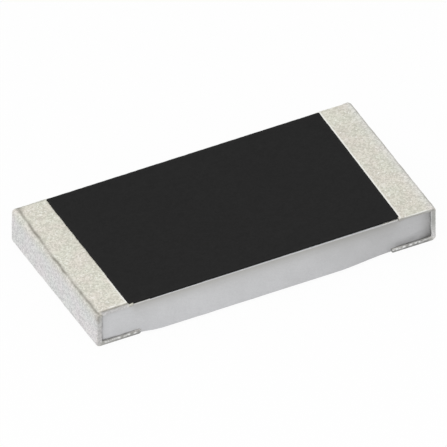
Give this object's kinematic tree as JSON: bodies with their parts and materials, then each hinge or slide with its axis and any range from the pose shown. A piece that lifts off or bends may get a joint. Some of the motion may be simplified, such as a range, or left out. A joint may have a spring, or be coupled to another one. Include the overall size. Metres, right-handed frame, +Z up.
{
  "type": "smd chip resistor",
  "caption": "Flat rectangular thick-film chip resistor: pale ceramic tile with a black protective coat on top and matte tin solder terminations wrapped round its ends.",
  "frame": {"origin": "under the chip's centre, on the plane of its two solder lands", "axes": "+X along the chip, +Y across it, +Z up out of the coated face"},
  "size_m": [0.0064, 0.0032, 0.0007],
  "materials": {
    "alumina": "fine matte, snapped sides",
    "film": "fired, dull",
    "glass": "fired, smooth",
    "black_coat": "satin",
    "silver_print": "fired, dull",
    "end_paste": "dull",
    "nickel": "satin",
    "tin": "matte, fine grained"
  },
  "bodies": {
    "root": {"ceramic_substrate": "alumina", "resistive_film": "film", "glass_overcoat": "glass", "protective_coat": "black_coat", "top_electrode_left": "silver_print", "top_electrode_right": "silver_print", "bottom_electrode_left": "silver_print", "bottom_electrode_right": "silver_print", "end_electrode_left": "end_paste", "end_electrode_right": "end_paste", "nickel_barrier_left": "nickel", "nickel_barrier_right": "nickel", "tin_plating_left": "tin", "tin_plating_right": "tin"}
  },
  "joints": []
}
